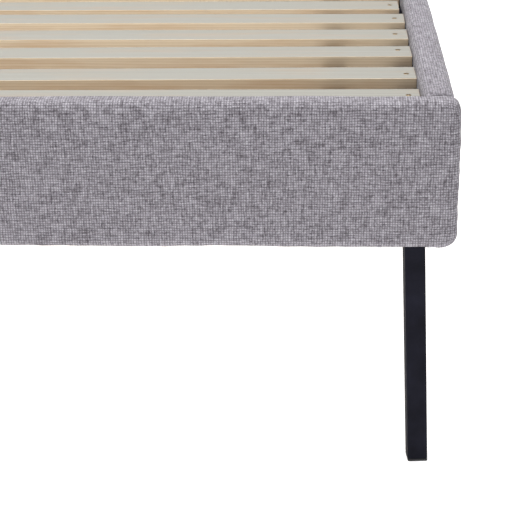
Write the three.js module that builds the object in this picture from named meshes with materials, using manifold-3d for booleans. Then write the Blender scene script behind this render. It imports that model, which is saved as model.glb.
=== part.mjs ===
// An upholstered bed frame for a 140 x 200 cm mattress, with no headboard.
// Four padded rails stand on splayed square steel legs. Pine slats lie on steel ledges and a centre beam,
// which two centre legs with screw levellers carry.
// Units are millimetres. +X is the right-hand side seen from the foot end, +Y points to the head end, +Z is up.
// The origin is on the floor, under the middle of the bed.
import * as THREE from 'three';
import { mergeVertices } from 'three/addons/utils/BufferGeometryUtils.js';
import Module from 'manifold-3d';

const wasm = await Module();
wasm.setup();

// ---- Driving dimensions ----

// The recess that holds the mattress, between the padded faces of the rails.
const recessWidth = 1412;
const recessLength = 2010;
const slatRecess = 15;

// Rails: a board core in a padded fabric cover.
const railTop = 420;
const railHeight = 158;
const railThickness = 33;
const padding = 5.5;
const edgeRadius = 10;
const railCornerRadius = 14;
const sideRailInset = 4;

// The cover is open on the inner face, where its edges are stapled to the core.
const openingAboveSlatUnderside = 4;
const openingBelowSlatUnderside = 55;
const openingEndMargin = 40;

// Slats
const slatCount = 24;
const slatWidth = 47;
const slatThickness = 16;
const slatEdgeRadius = 1.5;
const slatEndGap = 1;
const firstSlatGap = 18;
// The slats next to the foot rail are screwed down by hand, a little off the even pitch and a little askew,
// and the sixth is short.
const footSlatShifts = [-2, -3, 9, 14, 16, 3];
const footSlatTurns = [0.5, 1, 0.8, 0.2, -0.1, 0.1];
const shortSlatNumber = 6;
const shortSlatTrim = 4;

// Webbing straps stapled under the slats keep their spacing.
const strapWidth = 25;
const strapThickness = 1.5;
const strapInset = 90;

// Steel angle ledges that carry the slat ends
const ledgeFlange = 30;
const ledgeThickness = 3;
const ledgeEndMargin = 70;

// Folded steel angles in the inner corners
const bracketFlange = 60;
const bracketThickness = 3;
const bracketHeight = 60;
const bracketAboveRailBottom = 6;

// Square steel tube, used for all the legs
const tubeSize = 22;
const tubeWall = 1.5;
const tubeCornerRadius = 2;

// Corner legs lean outward, from the top plate to the floor.
const legTopInset = 43;
const legFootInset = 34;
const legTurn = THREE.MathUtils.degToRad(4.6);
const legPlateSize = 80;
const legPlateThickness = 2.5;
const legPlateSetback = 14;
const plugFlange = 3;
const plugDepth = 15;

// Centre beam, its hangers and its two legs
const beamWidth = 20;
const beamHeight = 40;
const beamWall = 1.5;
const hangerThickness = 2.5;
const hangerReach = 35;
const hangerPlateWidth = 60;
const centerLegSpacing = 700;
const centerPlateLength = 60;
const centerPlateWidth = 36;
const centerPlateThickness = 3;

// Screw levellers under the centre legs
const padRadius = 18;
const padHeight = 8;
const padFloor = 2.5;
const screwRadius = 4;
const screwLength = 56;
const screwHexRadius = 8;
const screwHexHeight = 6;
const insertFlange = 3;
const insertDepth = 24;
const boreClearance = 0.3;

// Space left between pieces that touch
const gap = 0.3;

// ---- Sizes that follow ----

const frameWidth = recessWidth + 2 * (railThickness + sideRailInset);
const frameLength = recessLength + 2 * railThickness;
const railBottom = railTop - railHeight;
const railMiddle = railTop - railHeight / 2;
const slatTop = railTop - slatRecess;
const slatUnderside = slatTop - slatThickness;
const supportTop = slatUnderside - gap;
const coreThickness = railThickness - 2 * padding;
const openingTop = slatUnderside + openingAboveSlatUnderside;
const openingBottom = slatUnderside - openingBelowSlatUnderside;
const tubeInside = tubeSize - 2 * tubeWall;
const plugInsert = tubeInside - 2 * gap;
const screwBottom = padFloor + gap;
const hexBottom = padHeight + gap;
const insertBottom = hexBottom + screwHexHeight + gap;
const centerTubeBottom = insertBottom + insertFlange + gap;
const beamBottom = supportTop - beamHeight;

// ---- Finishes ----

const fabric = { color: 0x9b979e, roughness: 0.95, metalness: 0 };
const board = { color: 0xb99a72, roughness: 0.85, metalness: 0 };
const pine = { color: 0xd6cdb8, roughness: 0.65, metalness: 0 };
const blackSteel = { color: 0x1e1d21, roughness: 0.5, metalness: 0.6 };
const zincSteel = { color: 0xa9abad, roughness: 0.35, metalness: 1 };
const blackPlastic = { color: 0x141416, roughness: 0.55, metalness: 0 };
const webbing = { color: 0x2b2a2d, roughness: 0.9, metalness: 0 };

// ---- Helpers ----

/** The geometry as a solid that can be joined and cut. */
function toSolid(geometry) {
  const bare = geometry.clone();
  bare.deleteAttribute('normal');
  bare.deleteAttribute('uv');
  const merged = mergeVertices(bare);
  const vertProperties = new Float32Array(merged.attributes.position.array);
  const triVerts = new Uint32Array(merged.index.array);
  return new wasm.Manifold(new wasm.Mesh({ numProp: 3, vertProperties, triVerts }));
}

/** The solid as a geometry. */
function toGeometry(solid) {
  const { vertProperties, triVerts } = solid.getMesh();
  const geometry = new THREE.BufferGeometry();
  geometry.setAttribute('position', new THREE.BufferAttribute(vertProperties, 3));
  geometry.setIndex(new THREE.BufferAttribute(triVerts, 1));
  geometry.computeVertexNormals();
  return geometry;
}

/** A box between two corners. */
function boxBetween(low, high) {
  const size = high.map((value, axis) => value - low[axis]);
  const middle = high.map((value, axis) => (value + low[axis]) / 2);
  return new THREE.BoxGeometry(...size).translate(...middle);
}

/** A rectangle with round corners, centred on the origin. */
function roundedRectangle(width, height, radius) {
  const x = width / 2 - radius;
  const y = height / 2 - radius;
  const shape = new THREE.Shape();
  shape.absarc(x, y, radius, 0, Math.PI / 2);
  shape.absarc(-x, y, radius, Math.PI / 2, Math.PI);
  shape.absarc(-x, -y, radius, Math.PI, Math.PI * 1.5);
  shape.absarc(x, -y, radius, Math.PI * 1.5, Math.PI * 2);
  shape.closePath();
  return shape;
}

/** A straight bar of the shape, from z = 0 up. */
function bar(shape, length, curveSegments = 2) {
  return new THREE.ExtrudeGeometry(shape, { depth: length, bevelEnabled: false, curveSegments });
}

/** A hollow square or rectangular tube along Z, with round outer corners. */
function tube(width, depth, wall, length) {
  const shape = roundedRectangle(width, depth, tubeCornerRadius);
  shape.holes.push(roundedRectangle(width - 2 * wall, depth - 2 * wall, tubeCornerRadius - wall));
  return bar(shape, length);
}

const bed = new THREE.Group();

/** Adds one named piece to the bed. */
function addPiece(name, geometry, finish) {
  const mesh = new THREE.Mesh(geometry, new THREE.MeshStandardMaterial(finish));
  mesh.name = name;
  bed.add(mesh);
  return mesh;
}

// ---- Rails ----

/** A block with all its edges rounded: length along X, thickness along Y, height along Z. */
function roundedBlock(length, thickness, height) {
  const outline = roundedRectangle(
    length - 2 * edgeRadius,
    height - 2 * edgeRadius,
    railCornerRadius - edgeRadius,
  );
  const block = new THREE.ExtrudeGeometry(outline, {
    depth: thickness - 2 * edgeRadius,
    bevelThickness: edgeRadius,
    bevelSize: edgeRadius,
    bevelSegments: 4,
    curveSegments: 3,
  });
  block.translate(0, 0, -(thickness - 2 * edgeRadius) / 2);
  return block.rotateX(Math.PI / 2);
}

/** The padded cover of a rail along X, open on its inner face, which points to +Y. */
function railCover(length) {
  const coreSpace = new THREE.BoxGeometry(
    length - 2 * (padding - gap),
    coreThickness + 2 * gap,
    railHeight - 2 * (padding - gap),
  );
  const opening = boxBetween(
    [-length / 2 + openingEndMargin, 0, openingBottom - railMiddle],
    [length / 2 - openingEndMargin, railThickness, openingTop - railMiddle],
  );
  const cover = toSolid(roundedBlock(length, railThickness, railHeight));
  return toGeometry(cover.subtract(toSolid(coreSpace)).subtract(toSolid(opening)));
}

/** The board inside a rail along X. */
function railCore(length) {
  return new THREE.BoxGeometry(length - 2 * padding, coreThickness, railHeight - 2 * padding);
}

const endRailY = (recessLength + railThickness) / 2;
const sideRailX = (recessWidth + railThickness) / 2;
const sideRailLength = recessLength - 2 * gap;
const rails = [
  { side: 'foot', length: frameWidth, x: 0, y: -endRailY, turn: 0 },
  { side: 'right', length: sideRailLength, x: sideRailX, y: 0, turn: Math.PI / 2 },
  { side: 'head', length: frameWidth, x: 0, y: endRailY, turn: Math.PI },
  { side: 'left', length: sideRailLength, x: -sideRailX, y: 0, turn: -Math.PI / 2 },
];

for (const { side, length, x, y, turn } of rails) {
  const core = addPiece(`${side}_rail_core`, railCore(length), board);
  const cover = addPiece(`${side}_rail_cover`, railCover(length), fabric);
  for (const piece of [core, cover]) {
    piece.position.set(x, y, railMiddle);
    piece.rotation.z = turn;
  }
}

// ---- Slats and their straps ----

const slatLength = recessWidth - 2 * slatEndGap;
const slatRun = recessLength - 2 * firstSlatGap - slatWidth;
const slatPitch = slatRun / (slatCount - 1);

for (let index = 0; index < slatCount; index += 1) {
  const trim = index + 1 === shortSlatNumber ? shortSlatTrim : 0;
  const section = roundedRectangle(slatThickness, slatWidth, slatEdgeRadius);
  const slat = addPiece(`slat_${String(index + 1).padStart(2, '0')}`, bar(section, slatLength - trim), pine);
  const y = -slatRun / 2 + index * slatPitch + (footSlatShifts[index] ?? 0);
  const turn = THREE.MathUtils.degToRad(footSlatTurns[index] ?? 0);
  const reach = slatLength / 2;
  slat.rotation.set(0, Math.PI / 2, turn, 'ZYX');
  slat.position.set(-reach * Math.cos(turn), y - reach * Math.sin(turn), slatUnderside + slatThickness / 2);
}

for (const [side, sign] of [['left', -1], ['right', 1]]) {
  const strap = boxBetween(
    [-strapWidth / 2, -slatRun / 2 - slatWidth / 2, supportTop - strapThickness],
    [strapWidth / 2, slatRun / 2 + slatWidth / 2, supportTop],
  );
  addPiece(`${side}_slat_strap`, strap, webbing).position.x = sign * (slatLength / 2 - strapInset);
}

// ---- Slat ledges ----

/** An angle section with its outer corner at the origin, and its flanges along -X and -Y. */
function angleShape(flange, thickness) {
  const shape = new THREE.Shape();
  shape.moveTo(0, 0);
  shape.lineTo(-flange, 0);
  shape.lineTo(-flange, -thickness);
  shape.lineTo(-thickness, -thickness);
  shape.lineTo(-thickness, -flange);
  shape.lineTo(0, -flange);
  shape.closePath();
  return shape;
}

const ledgeLength = recessLength - 2 * ledgeEndMargin;
const ledgeX = recessWidth / 2 + padding - gap;

for (const [side, sign] of [['left', -1], ['right', 1]]) {
  const ledge = bar(angleShape(ledgeFlange, ledgeThickness), ledgeLength);
  ledge.translate(0, 0, -ledgeLength / 2).rotateX(Math.PI / 2);
  const piece = addPiece(`${side}_slat_ledge`, ledge, blackSteel);
  piece.rotation.z = sign > 0 ? 0 : Math.PI;
  piece.position.set(sign * ledgeX, 0, supportTop);
}

// ---- Corners: brackets, legs and leg plugs ----

const up = new THREE.Vector3(0, 0, 1);

/** All of space between two heights, as far as a leg reaches. */
function layer(zLow, zHigh) {
  const reach = 4 * legPlateSize;
  return toSolid(boxBetween([-reach, -reach, zLow], [reach, reach, zHigh]));
}

/** A bar along the leaning axis of the corner leg, from its foot at the origin up. */
function leaningBar(geometry, below, axis, turn) {
  const width = new THREE.Vector3(Math.cos(turn), Math.sin(turn), 0);
  width.addScaledVector(axis, -width.dot(axis)).normalize();
  const depth = new THREE.Vector3().crossVectors(axis, width);
  const lean = new THREE.Matrix4().makeBasis(width, depth, axis);
  return toSolid(geometry.translate(0, 0, -below).applyMatrix4(lean));
}

const legPlateTop = railBottom - gap;
const legPlateBottom = legPlateTop - legPlateThickness;
const tubeBottom = plugFlange + gap;
const legRun = legTopInset - legFootInset;
const legOverlap = 10;

for (const [end, ySign] of [['foot', -1], ['head', 1]]) {
  for (const [side, xSign] of [['left', -1], ['right', 1]]) {
    const place = `${end}_${side}`;
    const cornerX = xSign * frameWidth / 2;
    const cornerY = ySign * frameLength / 2;
    const footX = cornerX - xSign * legFootInset;
    const footY = cornerY - ySign * legFootInset;
    const axis = new THREE.Vector3(-xSign * legRun, -ySign * legRun, legPlateTop).normalize();
    const turn = -xSign * ySign * legTurn;

    // The leg: a tube cut level at both ends and welded to a flat plate under the two rails
    const tubeLength = legPlateTop + 2 * legOverlap;
    const leaningTube = leaningBar(tube(tubeSize, tubeSize, tubeWall, tubeLength), legOverlap, axis, turn);
    const plateMiddle = legPlateSetback + legPlateSize / 2 - legFootInset;
    const plate = new THREE.BoxGeometry(legPlateSize, legPlateSize, legPlateThickness);
    plate.translate(-xSign * plateMiddle, -ySign * plateMiddle, (legPlateTop + legPlateBottom) / 2);
    const leg = leaningTube.intersect(layer(tubeBottom, legPlateTop)).add(toSolid(plate));
    addPiece(`leg_${place}`, toGeometry(leg), blackSteel).position.set(footX, footY, 0);

    // The plug: a flange flat on the floor, and a stem inside the tube
    const flangeBar = bar(roundedRectangle(tubeSize, tubeSize, tubeCornerRadius), 2 * legOverlap);
    const flange = leaningBar(flangeBar, legOverlap, axis, turn).intersect(layer(0, plugFlange));
    const stemBar = bar(roundedRectangle(plugInsert, plugInsert, 1), plugDepth + 2 * legOverlap);
    const stem = leaningBar(stemBar, legOverlap, axis, turn)
      .intersect(layer(plugFlange / 2, plugFlange + plugDepth));
    addPiece(`leg_plug_${place}`, toGeometry(flange.add(stem)), blackPlastic).position.set(footX, footY, 0);

    // The bracket: a folded angle bolted to both rails, inside the corner
    const bracket = bar(angleShape(bracketFlange, bracketThickness), bracketHeight);
    const piece = addPiece(`corner_bracket_${place}`, bracket, blackSteel);
    piece.rotation.z = Math.atan2(ySign, xSign) - Math.PI / 4;
    piece.position.set(
      xSign * (recessWidth / 2 - gap),
      ySign * (recessLength / 2 - gap),
      railBottom + bracketAboveRailBottom,
    );
  }
}

// ---- Centre beam and its hangers ----

// The beam's ends lie in the hangers, clear of their back plates.
const hangerPlateY = recessLength / 2 + padding - gap;
const beamLength = 2 * (hangerPlateY - hangerThickness - gap);
const beam = tube(beamHeight, beamWidth, beamWall, beamLength);
beam.translate(0, 0, -beamLength / 2).rotateY(Math.PI / 2).rotateZ(Math.PI / 2);
addPiece('center_beam', beam, blackSteel).position.z = supportTop - beamHeight / 2;

/** A cradle open at the top, with a back plate on its +Y side at y = 0. */
function hanger() {
  const inside = beamWidth / 2 + gap;
  const outside = inside + hangerThickness;
  const floorTop = beamBottom - gap;
  const floorBottom = floorTop - hangerThickness;
  const back = boxBetween(
    [-hangerPlateWidth / 2, -hangerThickness, floorBottom],
    [hangerPlateWidth / 2, 0, supportTop],
  );
  const cradle = boxBetween([-outside, -hangerReach, floorBottom], [outside, -hangerThickness / 2, supportTop]);
  const channel = boxBetween(
    [-inside, -hangerReach - 1, floorTop],
    [inside, -hangerThickness, supportTop + 1],
  );
  return toGeometry(toSolid(cradle).subtract(toSolid(channel)).add(toSolid(back)));
}

for (const [end, sign] of [['foot', -1], ['head', 1]]) {
  const piece = addPiece(`beam_hanger_${end}`, hanger(), blackSteel);
  piece.rotation.z = sign > 0 ? 0 : Math.PI;
  piece.position.y = sign * hangerPlateY;
}

// ---- Centre legs with screw levellers ----

/** A turned piece from its half outline, as [radius, height] points that start and end on the axis. */
function turned(outline, sides) {
  const points = outline.map(([radius, height]) => new THREE.Vector2(radius, height));
  return new THREE.LatheGeometry(points, sides).rotateX(Math.PI / 2);
}

/** The leveller's threaded insert: a stem in the leg tube, a flange below it and a bore right through. */
function levellerInsert() {
  const stem = bar(roundedRectangle(plugInsert, plugInsert, 1), insertFlange + insertDepth);
  const flange = bar(roundedRectangle(tubeSize, tubeSize, tubeCornerRadius), insertFlange);
  const boreLength = insertFlange + insertDepth + 2;
  const bore = new THREE.CylinderGeometry(
    screwRadius + boreClearance, screwRadius + boreClearance, boreLength, 24,
  );
  bore.rotateX(Math.PI / 2).translate(0, 0, boreLength / 2 - 1);
  return toGeometry(toSolid(stem).add(toSolid(flange)).subtract(toSolid(bore)));
}

/** The leveller's foot: a domed disc with a socket for the end of the screw. */
function levellerPad() {
  const socket = screwRadius + boreClearance;
  const shoulder = screwHexRadius + 1;
  return turned([
    [0, 0],
    [padRadius - 1, 0],
    [padRadius, 1],
    [padRadius, padHeight * 0.4],
    [shoulder, padHeight],
    [socket, padHeight],
    [socket, padFloor],
    [0, padFloor],
  ], 32);
}

/** The leveller's screw: a plain round shank with a hexagon to turn it by. */
function levellerScrew() {
  const shank = new THREE.CylinderGeometry(screwRadius, screwRadius, screwLength, 24);
  shank.rotateX(Math.PI / 2).translate(0, 0, screwBottom + screwLength / 2);
  const hexagon = new THREE.CylinderGeometry(screwHexRadius, screwHexRadius, screwHexHeight, 6);
  hexagon.rotateX(Math.PI / 2).translate(0, 0, hexBottom + screwHexHeight / 2);
  return toGeometry(toSolid(shank).add(toSolid(hexagon)));
}

const centerPlateTop = beamBottom - gap;
for (const [number, sign] of [[1, -1], [2, 1]]) {
  const legTube = toSolid(tube(tubeSize, tubeSize, tubeWall, centerPlateTop - centerTubeBottom));
  const plate = boxBetween(
    [-centerPlateWidth / 2, -centerPlateLength / 2, centerPlateTop - centerPlateThickness],
    [centerPlateWidth / 2, centerPlateLength / 2, centerPlateTop],
  );
  const leg = toGeometry(legTube.translate(0, 0, centerTubeBottom).add(toSolid(plate)));
  const y = sign * centerLegSpacing / 2;
  addPiece(`center_leg_${number}`, leg, blackSteel).position.y = y;
  addPiece(`leveller_insert_${number}`, levellerInsert(), blackPlastic).position.set(0, y, insertBottom);
  addPiece(`leveller_pad_${number}`, levellerPad(), blackPlastic).position.y = y;
  addPiece(`leveller_screw_${number}`, levellerScrew(), zincSteel).position.y = y;
}

export default bed;
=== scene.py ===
"""A padded bed frame: linen-look rails, pine slats and black steel legs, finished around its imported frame."""

import math
import random

import bpy
import numpy as np
from mathutils import Matrix, Vector


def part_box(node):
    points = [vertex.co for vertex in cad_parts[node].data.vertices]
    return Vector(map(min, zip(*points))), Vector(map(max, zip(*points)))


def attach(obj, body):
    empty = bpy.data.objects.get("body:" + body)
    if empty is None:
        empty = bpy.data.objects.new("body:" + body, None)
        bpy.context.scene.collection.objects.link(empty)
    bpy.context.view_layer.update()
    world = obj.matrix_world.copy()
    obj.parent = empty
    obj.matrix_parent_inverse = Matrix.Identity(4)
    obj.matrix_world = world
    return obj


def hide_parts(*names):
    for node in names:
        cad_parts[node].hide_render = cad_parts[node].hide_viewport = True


bl_info = {
    "name": "Padded Bed Frame",
    "version": (1, 0, 0),
    "blender": (4, 5, 0),
    "location": "View3D > Sidebar > Bed Frame",
    "description": "Builds the fabric, timber and steel finish of a padded bed frame",
    "category": "Object",
}

MM = 0.001

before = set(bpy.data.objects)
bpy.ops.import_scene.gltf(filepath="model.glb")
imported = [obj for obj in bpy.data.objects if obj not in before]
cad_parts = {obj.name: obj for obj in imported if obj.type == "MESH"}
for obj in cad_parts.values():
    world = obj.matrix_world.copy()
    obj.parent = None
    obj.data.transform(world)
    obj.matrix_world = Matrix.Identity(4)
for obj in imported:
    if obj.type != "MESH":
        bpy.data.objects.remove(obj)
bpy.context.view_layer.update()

# ---- Places that follow from the frame ----

SIDES = {"left": -1, "right": 1}
ENDS = {"foot": -1, "head": 1}
CORNERS = [(end, side) for end in ENDS for side in SIDES]
RAILS = ("foot", "right", "head", "left")
SLATS = sorted(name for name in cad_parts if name.startswith("slat_"))
SLAT_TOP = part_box(SLATS[0])[1].z
SLAT_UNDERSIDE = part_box(SLATS[0])[0].z

# Thickness of the sheet metal and the plates
LEG_PLATE = 2.5 * MM
CENTER_LEG_PLATE = 3 * MM
BRACKET_PLATE = 3 * MM
LEDGE_PLATE = 3 * MM
HANGER_PLATE = 2.5 * MM

# The open strip on each cover's inner face, measured from the rail's ends and the slats' undersides
OPENING_END_MARGIN = 40 * MM
OPENING_LOW = SLAT_UNDERSIDE - 55 * MM
OPENING_HIGH = SLAT_UNDERSIDE + 4 * MM


# ---- Small helpers ----


def linear(hex_colour):
    """An sRGB hex colour as the linear RGBA that a shader takes."""
    channels = [int(hex_colour[place : place + 2], 16) / 255 for place in (1, 3, 5)]
    curve = [c / 12.92 if c <= 0.04045 else ((c + 0.055) / 1.055) ** 2.4 for c in channels]
    return (*curve, 1.0)


def add_node(tree, kind, settings=None, inputs=None):
    """Adds one node with its settings; each input is a value or a socket to link."""
    node = tree.nodes.new(kind)
    for name, value in (settings or {}).items():
        setattr(node, name, value)
    for name, value in (inputs or {}).items():
        if isinstance(value, bpy.types.NodeSocket):
            tree.links.new(value, node.inputs[name])
        else:
            node.inputs[name].default_value = value
    return node


def select_only(*objects):
    """Selects these objects alone, with the first one active."""
    bpy.ops.object.select_all(action="DESELECT")
    for thing in objects:
        thing.select_set(True)
    bpy.context.view_layer.objects.active = objects[0]


def apply_place():
    """Moves the active object's place, turn and scale into its mesh."""
    bpy.ops.object.transform_apply(location=True, rotation=True, scale=True)


def add_block(name, low, high):
    """A block between two corners."""
    low, high = Vector(low), Vector(high)
    bpy.ops.object.select_all(action="DESELECT")
    bpy.ops.mesh.primitive_cube_add(size=1, location=(low + high) / 2)
    piece = bpy.context.object
    piece.name = name
    piece.scale = high - low
    apply_place()
    return piece


def add_rod(name, low, radius, length, sides=24):
    """An upright round or polygonal rod that stands on a point."""
    bpy.ops.object.select_all(action="DESELECT")
    middle = Vector(low) + Vector((0, 0, length / 2))
    bpy.ops.mesh.primitive_cylinder_add(vertices=sides, radius=radius, depth=length, location=middle)
    piece = bpy.context.object
    piece.name = name
    apply_place()
    return piece


def edit_mesh(piece, steps):
    """Runs steps in edit mode on the whole piece, each an operator with its settings."""
    select_only(piece)
    bpy.ops.object.mode_set(mode="EDIT")
    bpy.ops.mesh.select_all(action="SELECT")
    for operator, settings in steps:
        operator(**settings)
    bpy.ops.object.mode_set(mode="OBJECT")


def apply_modifier(piece, kind, **settings):
    """Adds one modifier with its settings and applies it."""
    select_only(piece)
    modifier = piece.modifiers.new(kind.title(), kind)
    for name, value in settings.items():
        setattr(modifier, name, value)
    bpy.ops.object.modifier_apply(modifier=modifier.name)


def bevel(piece, width, segments=2, degrees=60):
    """Rounds every edge that is sharper than an angle."""
    apply_modifier(piece, "BEVEL", width=width, segments=segments, limit_method="ANGLE",
                   angle_limit=math.radians(degrees))


def cut_edges_along(piece, axis, cuts):
    """Divides every edge that runs along an axis, and with it the faces between."""
    points = get_vertices(piece)
    ends = np.empty(len(piece.data.edges) * 2, np.int32)
    piece.data.edges.foreach_get("vertices", ends)
    run = np.abs(points[ends[1::2]] - points[ends[0::2]])
    chosen = run[:, axis] > 0.9 * run.sum(axis=1)
    bpy.context.tool_settings.mesh_select_mode = (False, True, False)
    select_only(piece)
    bpy.ops.object.mode_set(mode="EDIT")
    bpy.ops.mesh.select_all(action="DESELECT")
    bpy.ops.object.mode_set(mode="OBJECT")
    piece.data.edges.foreach_set("select", chosen)
    bpy.ops.object.mode_set(mode="EDIT")
    bpy.ops.mesh.subdivide(number_cuts=cuts)
    bpy.ops.object.mode_set(mode="OBJECT")


def cut_away(piece, cutter):
    """Cuts one closed mesh out of another, and removes the cutter."""
    apply_modifier(piece, "BOOLEAN", object=cutter, operation="DIFFERENCE", solver="EXACT")
    bpy.data.objects.remove(cutter)


def join_pieces(name, pieces):
    """Joins several meshes into one named piece."""
    select_only(*pieces)
    if len(pieces) > 1:
        bpy.ops.object.join()
    bpy.context.object.name = name
    return bpy.context.object


def copy_at(piece, place):
    """A copy of the piece with a mesh of its own, moved by a matrix."""
    copy = piece.copy()
    copy.data = piece.data.copy()
    bpy.context.scene.collection.objects.link(copy)
    copy.data.transform(place)
    return copy


def spread(name, master, places):
    """Copies a master piece to many places, joins the copies and removes the master."""
    copies = [copy_at(master, place) for place in places]
    bpy.data.objects.remove(master)
    return join_pieces(name, copies)


def smooth(piece, degrees=35):
    """Shades the piece smooth up to an angle between faces."""
    select_only(piece)
    bpy.ops.object.shade_smooth_by_angle(angle=math.radians(degrees))


def finish_piece(piece, material, body="frame", stands_for=()):
    """Gives a piece its material, hides the frame pieces that it stands for, and puts it on the body that it
    rides on.
    """
    piece.data.materials.clear()
    piece.data.materials.append(material)
    if stands_for:
        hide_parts(*stands_for)
    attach(piece, body)
    return piece


def set_vertices(piece, points):
    """Writes new places for all of the piece's vertices."""
    piece.data.vertices.foreach_set("co", np.asarray(points, np.float32).ravel())
    piece.data.update()


def read_vectors(items, name):
    """One vector of every vertex or face, as rows."""
    values = np.empty(len(items) * 3, np.float32)
    items.foreach_get(name, values)
    return values.reshape(-1, 3)


def get_vertices(piece):
    """The places of all of the piece's vertices."""
    return read_vectors(piece.data.vertices, "co").astype(float)


def get_normals(piece):
    """The normals at all of the piece's vertices."""
    return read_vectors(piece.data.vertices, "normal").astype(float)


def turn_about_z(degrees):
    """A turn about the upright axis."""
    return Matrix.Rotation(math.radians(degrees), 4, "Z")


# ---- Materials ----


class Graph:
    """A material's nodes, with short ways to add those that repeat. Each way gives the output socket."""

    def __init__(self, name):
        self.material = bpy.data.materials.new(name)
        self.material.use_nodes = True
        self.tree = self.material.node_tree
        self.tree.nodes.clear()

    def add(self, kind, settings=None, inputs=None):
        """One node of any kind."""
        return add_node(self.tree, kind, settings, inputs)

    def place(self, scale=None):
        """The object's own coordinates in metres, or drawn out by a scale along each axis."""
        place = self.add("ShaderNodeTexCoord").outputs["Object"]
        if scale is None:
            return place
        return self.add("ShaderNodeMapping", None, {"Vector": place, "Scale": scale}).outputs[0]

    def split(self, vector):
        """A vector's three numbers, by the names of their axes."""
        return self.add("ShaderNodeSeparateXYZ", None, {0: vector}).outputs

    def maths(self, operation, *values):
        """One sum on up to three numbers."""
        return self.add("ShaderNodeMath", {"operation": operation}, dict(enumerate(values))).outputs[0]

    def noise(self, vector, scale, detail, roughness=0.5):
        """Soft noise, with so many cells to one unit."""
        inputs = {"Vector": vector, "Scale": scale, "Detail": detail, "Roughness": roughness}
        return self.add("ShaderNodeTexNoise", None, inputs).outputs[0]

    def cells(self, vector, scale):
        """Random cells: the distance from each cell's middle, and one random number for each cell."""
        cells = self.add("ShaderNodeTexVoronoi", None, {"Vector": vector, "Scale": scale}).outputs
        return cells["Distance"], self.add("ShaderNodeSeparateColor", None, {0: cells["Color"]}).outputs[0]

    def remap(self, value, low=0.0, high=1.0, to_low=0.0, to_high=1.0, way="LINEAR"):
        """A number moved from one range to another, and kept inside it."""
        inputs = {"Value": value, "From Min": low, "From Max": high, "To Min": to_low, "To Max": to_high}
        return self.add("ShaderNodeMapRange", {"interpolation_type": way}, inputs).outputs[0]

    def mix(self, part, first, second):
        """Two numbers mixed."""
        return self.add("ShaderNodeMix", {"data_type": "FLOAT"}, {0: part, 2: first, 3: second}).outputs[0]

    def blend(self, part, first, second, way="MIX"):
        """Two colours mixed; one given as text is a hex colour."""
        first, second = (linear(colour) if isinstance(colour, str) else colour for colour in (first, second))
        return self.add("ShaderNodeMix", {"data_type": "RGBA", "blend_type": way},
                        {0: part, 6: first, 7: second}).outputs[2]

    def bump(self, strength, distance, height):
        """A normal bent by a height."""
        inputs = {"Strength": strength, "Distance": distance, "Height": height}
        return self.add("ShaderNodeBump", None, inputs).outputs[0]

    def surface(self, colour, roughness, more):
        """Ends the graph in its shader, and gives the material."""
        inputs = {"Base Color": colour, "Roughness": roughness, **more}
        shader = self.add("ShaderNodeBsdfPrincipled", None, inputs)
        output = self.add("ShaderNodeOutputMaterial")
        self.tree.links.new(shader.outputs[0], output.inputs[0])
        return self.material


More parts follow.
